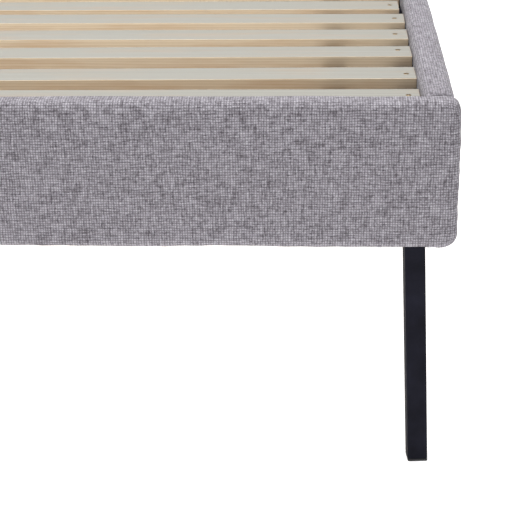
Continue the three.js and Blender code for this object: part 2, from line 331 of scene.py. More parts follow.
def linen_weave(look):
    """Plain-woven polyester with a linen look: slubby grey yarns, matt, softly fuzzy, with a raised weave.

    The shades change at half the pitch of the drawn yarns, as if each one were two finer yarns side by side.
    """
    graph = Graph("woven_linen_look_polyester")
    uv = graph.add("ShaderNodeUVMap", {"uv_map": "weave"}).outputs[0]
    # Yarns wander a little off straight.
    wander = graph.add("ShaderNodeTexNoise", None, {"Vector": uv, "Scale": 1 / (22 * MM), "Detail": 1.0})
    centred = graph.add("ShaderNodeVectorMath", {"operation": "SUBTRACT"},
                        {0: wander.outputs["Color"], 1: (0.5, 0.5, 0.5)})
    bent = graph.add("ShaderNodeVectorMath", {"operation": "MULTIPLY_ADD"},
                     {0: centred.outputs[0], 1: (look.yarn_wander,) * 3, 2: uv})
    axes = graph.split(bent.outputs[0])
    profile, index, slub = {}, {}, {}
    # Each yarn has its number and a round profile across it. Its shade drifts slowly along it. A flank is
    # the part of the pitch over which a yarn rises, and a row gap keeps two yarns' shades apart in the noise.
    flank, row_gap = 0.34, 7.317
    for yarn, across, along in (("warp", "X", "Y"), ("weft", "Y", "X")):
        count = graph.maths("DIVIDE", axes[across], look.yarn_pitch)
        index[yarn] = graph.maths("FLOOR", count)
        profile[yarn] = graph.remap(graph.maths("PINGPONG", count, 0.5), high=flank, way="SMOOTHSTEP")
        finer = graph.maths("FLOOR", graph.maths("MULTIPLY", count, 2.0))
        stagger = graph.maths("MULTIPLY", finer, row_gap)
        drift = graph.maths("DIVIDE", axes[along], look.slub_length)
        place = graph.add("ShaderNodeCombineXYZ", None, {0: stagger, 1: drift}).outputs[0]
        slub[yarn] = graph.add("ShaderNodeTexNoise", {"noise_dimensions": "2D"},
                               {"Vector": place, "Scale": 1.0, "Detail": 3.0, "Roughness": 0.7}).outputs[0]
    over = graph.maths("FLOORED_MODULO", graph.maths("ADD", index["warp"], index["weft"]), 2.0)
    # Both yarns share the shade, the one on top a little more. That one alone gives the height.
    shade = graph.mix(graph.remap(over, to_low=0.4, to_high=0.6), slub["warp"], slub["weft"])
    height = graph.mix(over, profile["warp"], profile["weft"])
    # Short fibres stand out of the yarns as a fine grain.
    fuzz = graph.noise(uv, 1 / (1.7 * MM), 2.0, 0.7)
    streaks = graph.maths("MULTIPLY", shade, look.slub)
    grain = graph.maths("MULTIPLY_ADD", fuzz, look.fibre_grain, streaks)
    middle, reach = 0.5 * look.fibre_grain + 0.5 * look.slub, 0.20
    contrast = graph.remap(grain, middle - reach, middle + reach)
    lit = graph.blend(contrast, look.dark_yarn, look.light_yarn)
    # The gaps between the yarns are darker: painted shade between the yarns.
    yarn_gap_shade_mask = graph.maths("MULTIPLY", profile["warp"], profile["weft"])
    colour = graph.blend(1.0, lit, graph.remap(yarn_gap_shade_mask, to_low=look.painted_gap_shade), "MULTIPLY")
    raised = graph.maths("MULTIPLY_ADD", fuzz, 0.4, height)
    return graph.surface(colour, 0.92, {
        "IOR": 1.5,
        "Specular IOR Level": 0.25,
        "Sheen Weight": 0.15,
        "Sheen Roughness": 0.45,
        "Normal": graph.bump(look.weave_relief, 0.6 * MM, raised),
    })


def pine(look, name, pale, ring, rough, warm):
    """Unfinished pine: straight growth rings along X, a slow drift in tone, small brown knots."""
    graph = Graph(name)
    wander = graph.noise(graph.place((1.3, 22.0, 22.0)), 1.0, 3.0, 0.55)
    axes = graph.split(graph.place())
    # Rings are sheets that lie across the slat at a slant, bent by the slow drift.
    slant = graph.maths("MULTIPLY_ADD", axes["Z"], 1.7, axes["Y"])
    count = graph.maths("DIVIDE", slant, look.ring_spacing)
    bent = graph.maths("MULTIPLY_ADD", wander, look.ring_wander, count)
    late = graph.maths("POWER", graph.maths("FRACT", bent), 3.0)
    fibre = graph.noise(graph.place((9.0, 900.0, 900.0)), 1.0, 1.0)
    toned = graph.maths("MULTIPLY_ADD", fibre, 0.25, late)
    wood = graph.blend(toned, pale, ring)
    # Warm heartwood clouds the pale sapwood in long streaks.
    cloud = graph.noise(graph.place((7.0, 60.0, 60.0)), 1.0, 3.0, 0.6)
    heart = graph.blend(graph.remap(cloud, 0.48, 0.75, to_high=warm), wood, look.heart)
    # Knots: a few cells of a coarse pattern, drawn long in the grain's direction.
    rim, core, rarity = 0.10, 0.03, 0.52
    distance, chance = graph.cells(graph.place((6.5, 17.0, 17.0)), 1.0)
    spot = graph.remap(distance, rim, core, way="SMOOTHSTEP")
    shown = graph.maths("MULTIPLY", graph.maths("GREATER_THAN", chance, rarity), spot)
    relief = graph.maths("SUBTRACT", toned, shown)
    return graph.surface(graph.blend(shown, heart, look.knot), rough,
                         {"IOR": 1.5, "Normal": graph.bump(0.25, 0.25 * MM, relief)})


def powder_coat(look):
    """Black polyester powder coat on steel: satin, with a fine orange-peel and a little dust in its tone."""
    graph = Graph("powder_coated_steel_black")
    peel = graph.noise(graph.place(), 1 / (1.4 * MM), 2.0)
    dust = graph.noise(graph.place(), 1 / (35 * MM), 5.0, 0.6)
    colour = graph.blend(graph.remap(dust, 0.35, 0.7), look.coat, look.coat_dusty)
    return graph.surface(colour, graph.remap(dust, to_low=0.55, to_high=0.75), {
        "IOR": 1.5,
        "Specular IOR Level": 0.04,
        "Normal": graph.bump(0.35, 0.12 * MM, peel),
    })


def particle_board():
    """Raw particle board: pressed chips in mixed tans, matt and slightly rough to the touch."""
    graph = Graph("raw_particle_board")
    chips, tint = graph.cells(graph.place((1.0, 1.0, 1.6)), 1 / (4 * MM))
    return graph.surface(graph.blend(tint, "#9C7C55", "#CDB088"), 0.88,
                         {"Normal": graph.bump(0.4, 0.3 * MM, chips)})


def strap_webbing():
    """Woven polypropylene webbing: ribs across the strap, a slight sheen from its flat filaments."""
    graph = Graph("woven_polypropylene_webbing")
    ribs = graph.add("ShaderNodeTexWave", {"wave_type": "BANDS", "bands_direction": "Y"}, {
        "Vector": graph.place(),
        "Scale": 1 / (12 * MM),
        "Distortion": 0.4,
        "Detail": 1.0,
    }).outputs["Fac"]
    return graph.surface(graph.blend(ribs, "#1D1D20", "#3A393D"), 0.6,
                         {"Sheen Weight": 0.2, "Normal": graph.bump(0.7, 0.4 * MM, ribs)})


def plated_steel(name, bright, dull):
    """Zinc-plated steel: bright metal, clouded by the plating bath and lightly scratched by tools."""
    graph = Graph(name)
    cloud = graph.noise(graph.place(), 1 / (3 * MM), 4.0)
    return graph.surface(graph.blend(cloud, bright, dull), graph.remap(cloud, to_low=0.22, to_high=0.5),
                         {"Metallic": 1.0, "Normal": graph.bump(0.2, 0.05 * MM, cloud)})


def moulded_plastic():
    """Black moulded polyethylene: a fine spark-eroded grain, matt, a touch paler where it is rubbed."""
    graph = Graph("moulded_polyethylene_black")
    grain = graph.noise(graph.place(), 1 / (0.6 * MM), 2.0)
    rub = graph.noise(graph.place(), 1 / (9 * MM), 3.0)
    return graph.surface(graph.blend(rub, "#101012", "#242427"), 0.55,
                         {"IOR": 1.5, "Normal": graph.bump(0.35, 0.1 * MM, grain)})


MATERIALS = {}


# ---- Settings ----


def length_setting(name, description, default, low, high):
    """A length, with its sizes in millimetres."""
    return bpy.props.FloatProperty(name=name, description=description, default=default * MM, min=low * MM,
                                   max=high * MM, precision=5, unit="LENGTH")


def share_setting(name, description, default, low=0.0, high=1.0):
    """A plain number between two limits."""
    return bpy.props.FloatProperty(name=name, description=description, default=default, min=low, max=high,
                                   subtype="FACTOR")


def angle_setting(name, description, degrees):
    """An angle, with its size in degrees."""
    return bpy.props.FloatProperty(name=name, description=description, default=math.radians(degrees),
                                   subtype="ANGLE", unit="ROTATION")


def colour_setting(name, description, default):
    """A colour as hex text."""
    return bpy.props.StringProperty(name=name, description=description, default=default)


class BedFabricSettings(bpy.types.PropertyGroup):
    """Sizes and colours of the rails' padded covers."""

    yarn_pitch: length_setting("Yarn pitch", "Distance between two yarns of the weave", 2.68, 0.4, 6)
    yarn_wander: length_setting("Yarn wander", "How far the yarns stray from straight", 1.4, 0, 6)
    slub: share_setting("Slub", "How much the yarns differ in shade", 1.3, 0.0, 2.0)
    fibre_grain: share_setting("Fibre grain", "How much the loose fibres differ in shade", 0.4, 0.0, 2.0)
    slub_length: length_setting("Slub length", "How far a yarn keeps one shade", 14, 2, 80)
    dark_yarn: colour_setting("Dark yarn", "Colour of the darkest yarns", "#6B656C")
    light_yarn: colour_setting("Light yarn", "Colour of the lightest yarns", "#C3BFC7")
    # Painted shade in the gaps between the yarns.
    painted_gap_shade: share_setting("Gap darkness", "Share of light that the gaps between yarns keep", 0.50, 0.1)
    weave_relief: share_setting("Weave relief", "How strongly the weave stands up", 0.8)
    slack: length_setting("Slack", "How far inside its faces the cover starts, before foam swells it",
                          1.2, 0, 4)
    edge_radius: length_setting("Edge radius", "Radius of the padding all round both long faces", 9.5, 2, 16)
    corner_radius: length_setting("Corner radius", "Radius of the long face's corners", 12.5, 10, 40)
    butt_radius: length_setting("Butt radius", "Radius of the corners where a side rail meets an end rail",
                                12, 9.5, 40)
    grid: length_setting("Grid", "Size of the cells that the foam's simulation works on", 8.5, 3, 20)
    ripple: length_setting("Ripple", "Height of the slow waves in the stretched fabric", 0.5, 0, 2)


class BedTimberSettings(bpy.types.PropertyGroup):
    """Sizes and colours of the pine slats."""

    # The planed and sawn colours are one pine painted two ways: the top greyer and darker, the sawn faces
    # brighter and warmer. This is painted light for how each face is lit.
    pale: colour_setting("Planed pine", "Colour of the planed faces", "#9F9E97")
    ring: colour_setting("Planed rings", "Colour of the growth rings on planed faces", "#87837A")
    sawn: colour_setting("Sawn pine", "Colour of the sawn faces", "#D6C5AC")
    sawn_ring: colour_setting("Sawn rings", "Colour of the growth rings on sawn faces", "#C6B193")
    heart: colour_setting("Heartwood", "Colour of the warm streaks", "#B48F68")
    knot: colour_setting("Knot", "Colour of the knots", "#8E5F38")
    ring_spacing: length_setting("Ring spacing", "Distance between growth rings", 5.5, 1, 20)
    ring_wander: share_setting("Ring wander", "How many rings the grain drifts across along a slat",
                               3.0, 0.0, 10.0)
    bow: length_setting("Bow", "The most that a slat bows up or sideways", 0.9, 0, 5)
    edge: length_setting("Eased edge", "Radius of the slats' long edges", 0.9, 0.2, 6)


class BedSteelSettings(bpy.types.PropertyGroup):
    """Sizes and colours of the steel and its coating."""

    coat: colour_setting("Powder coat", "Colour of the clean coating", "#15151C")
    coat_dusty: colour_setting("Dusty coat", "Colour of the coating under fine dust", "#20202A")
    edge: length_setting("Edge radius", "Radius of the steel's edges under the coating", 0.5, 0.1, 2)
    weld: length_setting("Weld bead", "Radius of the weld beads between tubes and plates", 2.0, 0.5, 5)


class BedStageSettings(bpy.types.PropertyGroup):
    """The camera, the lights and the floor."""

    lens: bpy.props.FloatProperty(
        name="Lens", description="Focal length in millimetres, on a 36 mm sensor", default=109.6)
    place: bpy.props.FloatVectorProperty(
        name="Camera place", description="Where the camera stands, from the middle of the bed on the floor",
        default=(0.6011, -2.5496, 0.863), size=3, subtype="TRANSLATION", unit="LENGTH")
    pitch: angle_setting("Pitch", "How far the camera looks down", 21.97)
    turn: angle_setting("Turn", "How far the camera turns to the left of straight ahead", 2.471)
    roll: angle_setting("Roll", "How far the camera tips clockwise", 0.737)
    overhead: bpy.props.FloatProperty(
        name="Overhead light", description="Power of the softbox above the bed", default=127.0, unit="POWER")
    front: bpy.props.FloatProperty(
        name="Front light", description="Power of the softbox in front of the bed", default=5.0, unit="POWER")
    sky: bpy.props.FloatProperty(
        name="Ambient light", description="Brightness of the white room", default=0.4)
    floor_glow: bpy.props.FloatProperty(
        name="Floor glow", description="Light that the floor gives by itself", default=0.6)


# ---- Rail covers ----


class RailShape:
    """One rail seen along its own axes: along it, outward from the bed, and up."""

    def __init__(self, side):
        self.node = f"{side}_rail_cover"
        self.low, self.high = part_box(self.node)
        self.core_low, self.core_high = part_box(f"{side}_rail_core")
        self.middle = (self.low + self.high) / 2
        self.size = self.high - self.low
        self.along = 0 if side in ENDS else 1
        self.across = 1 - self.along
        self.outward = {**ENDS, **SIDES}[side]


def corner_vector(rail, along, outward, up):
    """A vector given along the rail, outward from the bed and up."""
    vector = Vector((0, 0, up))
    vector[rail.along] = along
    vector[rail.across] = outward * rail.outward
    return vector


def grid_lines(half, edge, cell):
    """Grid lines from one end to the other: close together over both edges, and even between them."""
    near = np.linspace(0.0, edge, 5)
    even = np.linspace(edge - half, half - edge, max(2, round(2 * (half - edge) / cell)) + 1)
    return np.concatenate([near - half, even[1:-1], half - near[::-1]])


def gridded_block(rail, inset, cell, edge, corner):
    """A block a little inside the rail's faces, divided into a grid that is finer over its edges."""
    shrink = Vector((inset, inset, inset))
    block = add_block(f"{rail.node}_padding", rail.low + shrink, rail.high - shrink)
    for axis in (rail.along, 2, rail.across):
        half = rail.size[axis] / 2 - inset
        lines = grid_lines(half, edge if axis == rail.across else corner, cell)
        cut_edges_along(block, axis, len(lines) - 2)
        points = get_vertices(block)
        middle = rail.middle[axis]
        even = np.linspace(-half, half, len(lines))
        points[:, axis] = middle + np.interp(points[:, axis] - middle, even, lines)
        set_vertices(block, points)
    return block


def half_size(rail, inset):
    """Half the rail's size, less an inset at each face."""
    return Vector(rail.size) / 2 - Vector((inset, inset, inset))


def in_rail(points, rail):
    """Points seen from the rail: along it, outward from the bed and up, from its middle."""
    relative = points - np.array(rail.middle)
    return relative[:, rail.along], relative[:, rail.across] * rail.outward, relative[:, 2]


def out_of_rail(along, outward, up, rail):
    """The opposite of in_rail."""
    points = np.empty((len(along), 3))
    points[:, rail.along] = along
    points[:, rail.across] = outward * rail.outward
    points[:, 2] = up
    return points + np.array(rail.middle)


def square_to_round(first, second, squareness=2):
    """Moves points of the unit square onto the quarter disc that it bounds, or onto a squarer shape."""
    length = np.maximum((first ** squareness + second ** squareness) ** (1 / squareness), 1e-9)
    scale = np.maximum(first, second) / length
    return first * scale, second * scale


def round_padding(block, rail, inset, corner_radius, edge_radius, squareness):
    """Rounds the long face's corners, and then the rim all the way round both long faces."""
    along, outward, up = in_rail(get_vertices(block), rail)
    half = half_size(rail, inset)
    flat_along, flat_up = half[rail.along] - corner_radius, half.z - corner_radius
    flat_outward = half[rail.across] - edge_radius
    over_along = np.maximum(np.abs(along) - flat_along, 0) / corner_radius
    over_up = np.maximum(np.abs(up) - flat_up, 0) / corner_radius
    round_along, round_up = square_to_round(over_along, over_up, squareness)
    along = np.sign(along) * (np.minimum(np.abs(along), flat_along) + round_along * corner_radius)
    up = np.sign(up) * (np.minimum(np.abs(up), flat_up) + round_up * corner_radius)
    # How deep inside the outline each point lies, and which way is out of it
    over_along, over_up = np.abs(along) - flat_along, np.abs(up) - flat_up
    beyond = np.hypot(np.maximum(over_along, 0), np.maximum(over_up, 0))
    depth = corner_radius - beyond - np.minimum(np.maximum(over_along, over_up), 0)
    in_corner = beyond > 1e-7
    divisor = np.maximum(beyond, 1e-9)
    way_along = np.where(in_corner, np.maximum(over_along, 0) / divisor, over_along > over_up)
    way_up = np.where(in_corner, np.maximum(over_up, 0) / divisor, over_along <= over_up)
    rim = np.clip(1 - depth / edge_radius, 0, 1)
    rise = np.clip((np.abs(outward) - flat_outward) / edge_radius, 0, 1)
    round_rim, round_rise = square_to_round(rim, rise)
    inward = (rim - round_rim) * edge_radius
    along -= np.sign(along) * way_along * inward
    up -= np.sign(up) * way_up * inward
    outward = np.sign(outward) * np.where(rise > 0, flat_outward + round_rise * edge_radius, np.abs(outward))
    set_vertices(block, out_of_rail(along, outward, up, rail))


def rounded_length(place, half, radius):
    """The length over a rounded face from its middle to each place on its flat grid."""
    over = np.maximum(np.abs(place) - (half - radius), 0)
    return np.sign(place) * (np.minimum(np.abs(place), half - radius) + radius * np.arctan(over / radius))


def map_weave(block, rail, inset, radius):
    """Lays the weave's own UV map in metres: U along the rail and V round it, wrapped on over both ends."""
    mesh = block.data
    loops = np.empty(len(mesh.loops), np.int32)
    mesh.loops.foreach_get("vertex_index", loops)
    along, outward, up = in_rail(get_vertices(block)[loops], rail)
    facing_way = np.repeat(read_vectors(mesh.polygons, "normal"), 4, axis=0)
    half = half_size(rail, inset)
    quarter = radius * (1 - math.pi / 4)
    high, thick, long = half.z - quarter, half[rail.across] - quarter, half[rail.along] - quarter
    u = rounded_length(along, half[rail.along], radius)
    down = -rounded_length(up, half.z, radius)
    across = rounded_length(outward, half[rail.across], radius)
    top, bottom = facing_way[:, 2] > 0.5, facing_way[:, 2] < -0.5
    inner = facing_way[:, rail.across] * rail.outward < -0.5
    at_end = np.abs(facing_way[:, rail.along]) > 0.5
    v = np.where(top, -high - (thick - across), down)
    v = np.where(bottom, high + (thick - across), v)
    v = np.where(inner, 2 * (high + thick) - down, v)
    u = np.where(at_end, np.sign(along) * (long + thick - across), u)
    layer = mesh.uv_layers.get("weave") or mesh.uv_layers.new(name="weave")
    layer.data.foreach_set("uv", np.stack([u, v], 1).astype(np.float32).ravel())
    layer.active_render = True


CLOTH_FRAMES = 20


def inflate(piece, swell, seed):
    """Fills a closed cover with foam: a cloth simulation under pressure, with each point's move capped."""
    rest, normals = get_vertices(piece), get_normals(piece)
    scene = bpy.context.scene
    cloth = piece.modifiers.new("Cloth", "CLOTH")
    cloth.settings.quality = 4
    cloth.settings.mass = 0.35
    cloth.settings.tension_stiffness = 25
    cloth.settings.compression_stiffness = 25
    cloth.settings.bending_stiffness = 4
    cloth.settings.use_pressure = True
    cloth.settings.uniform_pressure_force = 4.0
    cloth.settings.effector_weights.gravity = 0.0
    cloth.point_cache.frame_start = 1
    cloth.point_cache.frame_end = CLOTH_FRAMES
    for moment in range(1, CLOTH_FRAMES + 1):
        scene.frame_set(moment)
    select_only(piece)
    bpy.ops.object.modifier_apply(modifier=cloth.name)
    scene.frame_set(1)
    # The foam holds the fabric out, and it is a little denser in some places than in others.
    least, most, unevenness = 0.75, 1.1, 0.25
    cap = swell * (most + unevenness * slow_waves(rest, 10, (0.05, 0.3), seed))
    moved = get_vertices(piece) - rest
    out = np.clip((moved * normals).sum(axis=1), least * swell, cap)
    set_vertices(piece, rest + normals * out[:, None])
    apply_modifier(piece, "SUBSURF", levels=1, render_levels=1)


def slow_waves(points, count, lengths, seed):
    """A smooth random field with a spread of about one, from a few plane waves."""
    rng = np.random.default_rng(seed)
    field = np.zeros(len(points))
    for _ in range(count):
        heading = rng.normal(size=3)
        heading /= np.linalg.norm(heading)
        field += np.sin(points @ heading * math.tau / rng.uniform(*lengths) + rng.uniform(0, math.tau))
    return field * math.sqrt(2 / count)


def ripple_fabric(piece, rail, height, seed):
    """Slow waves in the stretched fabric, gathers round the rail's ends and a fold under its corners."""
    points, normals = get_vertices(piece), get_normals(piece)
    along, _, up = in_rail(points, rail)
    from_end = np.abs(along) - rail.size[rail.along] / 2
    from_bottom = -up - rail.size.z / 2
    gather_start, gather_rise, gather_spacing = 30 * MM, 24 * MM, 17 * MM
    fold_place, fold_width, fold_height = 18 * MM, 8 * MM, 1.1 * MM
    hang_start, hang_rise, hang_height, hang_wave = 12 * MM, 10 * MM, 0.8 * MM, 0.25 * MM
    wave = 0.5 * slow_waves(points, 12, (0.04, 0.22), seed) * height
    near_end = np.clip((from_end + gather_start) / gather_rise, 0, 1)
    bend = 1.5 * np.sin(up * 55 + seed)
    gathers = np.sin(up * math.tau / gather_spacing + bend) * near_end ** 2 * 0.5 * height
    under = np.clip((from_bottom + hang_start) / hang_rise, 0, 1)
    fold = np.exp(-((from_end + fold_place) / fold_width) ** 2) * under * fold_height
    hang = (hang_height + slow_waves(points, 6, (0.03, 0.09), seed + 50) * hang_wave) * under
    move = wave + gathers + fold + hang
    set_vertices(piece, points + normals * move[:, None])


class BED_OT_upholster(bpy.types.Operator):
    """Covers the four rails with foam and linen-look fabric"""

    bl_idname = "bed.upholster"
    bl_label = "Upholster the rails"

    def execute(self, context):
        look = context.scene.bed_fabric
        opening_gap = 0.4 * MM
        for number, side in enumerate(RAILS):
            rail = RailShape(side)
            # The side rails butt against the end rails, and their fabric is folded over more squarely there.
            corner_radius = look.corner_radius if side in ENDS else look.butt_radius
            squareness = 2 if side in ENDS else 4
            cover = gridded_block(rail, look.slack, look.grid, look.edge_radius, corner_radius)
            map_weave(cover, rail, look.slack, look.edge_radius)
            round_padding(cover, rail, look.slack, corner_radius, look.edge_radius, squareness)
            inflate(cover, look.slack, seed=number)
            ripple_fabric(cover, rail, look.ripple, seed=number)
            # The core's space, and the strip on the inner face where the fabric's edges are stapled back
            around = Vector((opening_gap,) * 3)
            cut_away(cover, add_block("core_space", rail.core_low - around, rail.core_high + around))
            reach = rail.size[rail.along] / 2 - OPENING_END_MARGIN
            depth = rail.size[rail.across]
            corners = [
                rail.middle + corner_vector(rail, -reach, 0, OPENING_LOW - rail.middle.z),
                rail.middle + corner_vector(rail, reach, -depth, OPENING_HIGH - rail.middle.z),
            ]
            low = [min(pair) for pair in zip(*corners)]
            high = [max(pair) for pair in zip(*corners)]
            cut_away(cover, add_block("stapled_opening", low, high))
            cover.name = f"{side}_rail_upholstery"
            smooth(cover, 50)
            finish_piece(cover, MATERIALS["linen"], stands_for=[rail.node])
        return {"FINISHED"}


# ---- Slats ----


class SlatLie:
    """How one slat lies: the middle of its top, its turn about the upright, its length and its width."""

    def __init__(self, node):
        self.node = node
        self.low, self.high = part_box(node)
        points = get_vertices(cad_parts[node])
        left = points[points[:, 0] < 0, :2].mean(axis=0)
        right = points[points[:, 0] > 0, :2].mean(axis=0)
        self.middle = (left + right) / 2
        self.length = float(np.hypot(*(right - left)))
        self.run = (right - left) / self.length
        self.turn = math.atan2(self.run[1], self.run[0])
        self.sideways = np.array([-self.run[1], self.run[0]])
        self.width = 2 * float(np.abs((points[:, :2] - self.middle) @ self.sideways).max())

    def place(self, along, across, z):
        """The matrix of a place on the slat, from its middle, turned as the slat is."""
        x, y = self.middle + along * self.run + across * self.sideways
        return Matrix.Translation((x, y, z)) @ Matrix.Rotation(self.turn, 4, "Z")


def make_slat(lie, look, rng):
    """A slat with eased long edges and a slight bow: its planed top and sawn faces take two colours of one
    pine, set apart as painted light to match how each is lit.
    """
    half, width, thick = lie.length / 2, lie.width / 2, lie.high.z - lie.low.z
    slat = add_block(f"{lie.node}_pine", (-half, -width, -thick), (half, width, 0))
    cut_edges_along(slat, 0, 15)
    bevel(slat, look.edge, 3)
    points = get_vertices(slat)
    arch = np.cos(points[:, 0] / half * math.pi / 2)
    points[:, 2] += arch * rng.uniform(0.1, 1.0) * look.bow
    points[:, 1] += arch * rng.uniform(-1.0, 1.0) * look.bow
    set_vertices(slat, points)
    slat.data.transform(lie.place(0, 0, lie.high.z))
    smooth(slat, 40)
    finish_piece(slat, MATERIALS["planed"], stands_for=[lie.node])
    slat.data.materials.append(MATERIALS["sawn"])
    # Faces that look up take the planed top's colour and all others the sawn one: painted light by facing, the
    # top greyer and darker, the rest brighter and warmer.
    for face in slat.data.polygons:
        face.material_index = 0 if face.normal.z > 0.9 else 1
    return slat


class BED_OT_lay_slats(bpy.types.Operator):
    """Lays the pine slats"""

    bl_idname = "bed.lay_slats"
    bl_label = "Lay the slats"

    def execute(self, context):
        rng = random.Random(7)
        for node in SLATS:
            make_slat(SlatLie(node), context.scene.bed_timber, rng)
        return {"FINISHED"}


# ---- Steel and small parts from the frame ----


def refine(node, name, edge, material, body="frame"):
    """A finer copy of a frame piece: merged, its edges rounded, shaded smooth."""
    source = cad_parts[node]
    piece = source.copy()
    piece.data = source.data.copy()
    piece.parent = None
    for key in list(piece.keys()):
        del piece[key]
    piece.name = name
    bpy.context.scene.collection.objects.link(piece)
    piece.matrix_world = Matrix.Identity(4)
    edit_mesh(piece, [
        (bpy.ops.mesh.remove_doubles, {"threshold": 0.01 * MM}),
        (bpy.ops.mesh.dissolve_limited, {"angle_limit": math.radians(1)}),
    ])
    bevel(piece, edge, degrees=30)
    smooth(piece, 45)
    return finish_piece(piece, material, body=body, stands_for=[node])


STEEL_NODES = (
    [f"leg_{end}_{side}" for end, side in CORNERS]
    + [f"corner_bracket_{end}_{side}" for end, side in CORNERS]
    + [f"{side}_slat_ledge" for side in SIDES]
    + [f"beam_hanger_{end}" for end in ENDS]
    + ["center_beam", "center_leg_1", "center_leg_2"]
)


class BED_OT_finish_steel(bpy.types.Operator):
    """Rounds and coats the steel pieces"""

    bl_idname = "bed.finish_steel"
    bl_label = "Finish the steel"

    def execute(self, context):
        look = context.scene.bed_steel
        for node in STEEL_NODES:
            refine(node, f"{node}_coated", look.edge, MATERIALS["coat"])
        beads = [weld_bead(f"leg_{end}_{side}", LEG_PLATE, look.weld) for end, side in CORNERS]
        beads += [weld_bead(f"center_leg_{number}", CENTER_LEG_PLATE, look.weld) for number in (1, 2)]
        finish_piece(join_pieces("leg_weld_beads", beads), MATERIALS["coat"])
        return {"FINISHED"}


def weld_bead(node, plate_thickness, radius):
    """A fillet weld all round a leg's tube, where it meets the underside of its plate."""
    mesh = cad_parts[node].data
    points = get_vertices(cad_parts[node])
    plate_bottom = points[:, 2].max() - plate_thickness
    ends = np.array([edge.vertices[:] for edge in mesh.edges])
    start, stop = points[ends[:, 0]], points[ends[:, 1]]
    length = np.linalg.norm(stop - start, axis=1)
    height = np.maximum(np.abs(start[:, 2] - plate_bottom), np.abs(stop[:, 2] - plate_bottom))
    shortest, longest = 12 * MM, 24 * MM
    sides = np.flatnonzero((height < 0.05 * MM) & (length > shortest) & (length < longest))
    ring = np.concatenate([start[sides], stop[sides]])
    middle = (ring.max(axis=0) + ring.min(axis=0)) / 2
    run = stop[sides[0]] - start[sides[0]]
    turn = math.atan2(run[1], run[0])
    across = np.array([math.cos(turn), math.sin(turn), 0.0])
    half = np.abs((ring - middle) @ across).max()
    reach = half + radius
    bead = add_block("weld_bead", (-reach, -reach, -radius), (reach, reach, 0.3 * MM))
    for axis in (0, 1):
        cut_edges_along(bead, axis, 14)
    bevel(bead, 0.8 * radius, 3)
    # The welder's weaving leaves small even ridges.
    laid, outward = get_vertices(bead), get_normals(bead)
    ridge_spacing, ridge_height = 2.4 * MM, 0.12 * radius
    ridges = np.sin((laid[:, 0] + laid[:, 1]) * math.tau / ridge_spacing) * ridge_height
    low = laid[:, 2] < -0.1 * MM
    set_vertices(bead, laid + outward * (ridges * low)[:, None])
    place = Matrix.Translation((middle[0], middle[1], plate_bottom))
    bead.data.transform(place @ Matrix.Rotation(turn, 4, "Z"))
    smooth(bead, 50)
    return bead


class BED_OT_finish_plastic(bpy.types.Operator):
    """Rounds the plugs, inserts and leveller pads, and cuts the leveller screws"""

    bl_idname = "bed.finish_plastic"
    bl_label = "Finish plugs and levellers"

    def execute(self, context):
        for end, side in CORNERS:
            self.mould(f"leg_plug_{end}_{side}", 0.6 * MM)
        for number in (1, 2):
            self.mould(f"leveller_insert_{number}", 0.3 * MM)
            self.mould(f"leveller_pad_{number}", 0.6 * MM, body=f"leveller_pad_{number}")
            make_leveller_screw(number)
        return {"FINISHED"}

    def mould(self, node, edge, body="frame"):
        """One moulded piece with rounded edges."""
        refine(node, f"{node}_moulded", edge, MATERIALS["plastic"], body=body)


def make_leveller_screw(number):
    """The leveller's screw: a rolled thread on a core, and a chamfered hexagon."""
    node = f"leveller_screw_{number}"
    low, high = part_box(node)
    middle = (low + high) / 2
    radius, pitch, root = 4 * MM, 1.25 * MM, 3.3 * MM
    hex_low, hex_height, hex_radius = 8.3 * MM, 6 * MM, 8 * MM
    thread_low = hex_low + hex_height
    turns = int((high.z - thread_low) / pitch) - 1
    bpy.ops.object.select_all(action="DESELECT")
    bpy.ops.mesh.primitive_plane_add(size=1)
    ridge = bpy.context.object
    ridge.data.clear_geometry()
    buried = root - 0.3 * MM
    profile = ((buried, 0.05), (radius, 0.45), (radius, 0.55), (buried, 0.95))
    outline = [(across, 0, pitch * part) for across, part in profile]
    ridge.data.from_pydata(outline, [(0, 1), (1, 2), (2, 3), (3, 0)], [])
    apply_modifier(ridge, "SCREW", angle=math.tau, screw_offset=pitch, iterations=turns, steps=24,
                   render_steps=24)
    edit_mesh(ridge, [
        (bpy.ops.mesh.fill_holes, {"sides": 0}),
        (bpy.ops.mesh.normals_make_consistent, {"inside": False}),
    ])
    ridge.data.transform(Matrix.Translation((middle.x, middle.y, thread_low)))
    foot = (middle.x, middle.y, low.z)
    shank = add_rod("leveller_shank", foot, root + 0.05 * MM, high.z - low.z - 0.5 * MM)
    tail = add_rod("leveller_tail", foot, radius, hex_low - low.z + MM)
    bevel(tail, 0.5 * MM)
    hexagon = add_rod("leveller_hexagon", (middle.x, middle.y, hex_low), hex_radius, hex_height, sides=6)
    bevel(hexagon, 0.7 * MM, degrees=40)
    screw = join_pieces(f"{node}_threaded", [ridge, shank, tail, hexagon])
    smooth(screw, 35)
    finish_piece(screw, MATERIALS["zinc"], body=node, stands_for=[node])


# ---- Straps ----


class BED_OT_fit_straps(bpy.types.Operator):
    """Fits the webbing straps under the slats, each sagging a little between them"""

    bl_idname = "bed.fit_straps"
    bl_label = "Fit the straps"

    def execute(self, context):
        for side in SIDES:
            node = f"{side}_slat_strap"
            low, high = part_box(node)
            strap = add_block(f"{node}_webbing", low, high)
            cut_edges_along(strap, 1, len(SLATS) * 6)
            points = get_vertices(strap)
            points[:, 2] -= strap_sag(points[:, 1], (low.x + high.x) / 2)
            set_vertices(strap, points)
            bevel(strap, 0.5 * MM)
            smooth(strap, 40)
            finish_piece(strap, MATERIALS["webbing"], stands_for=[node])
        return {"FINISHED"}


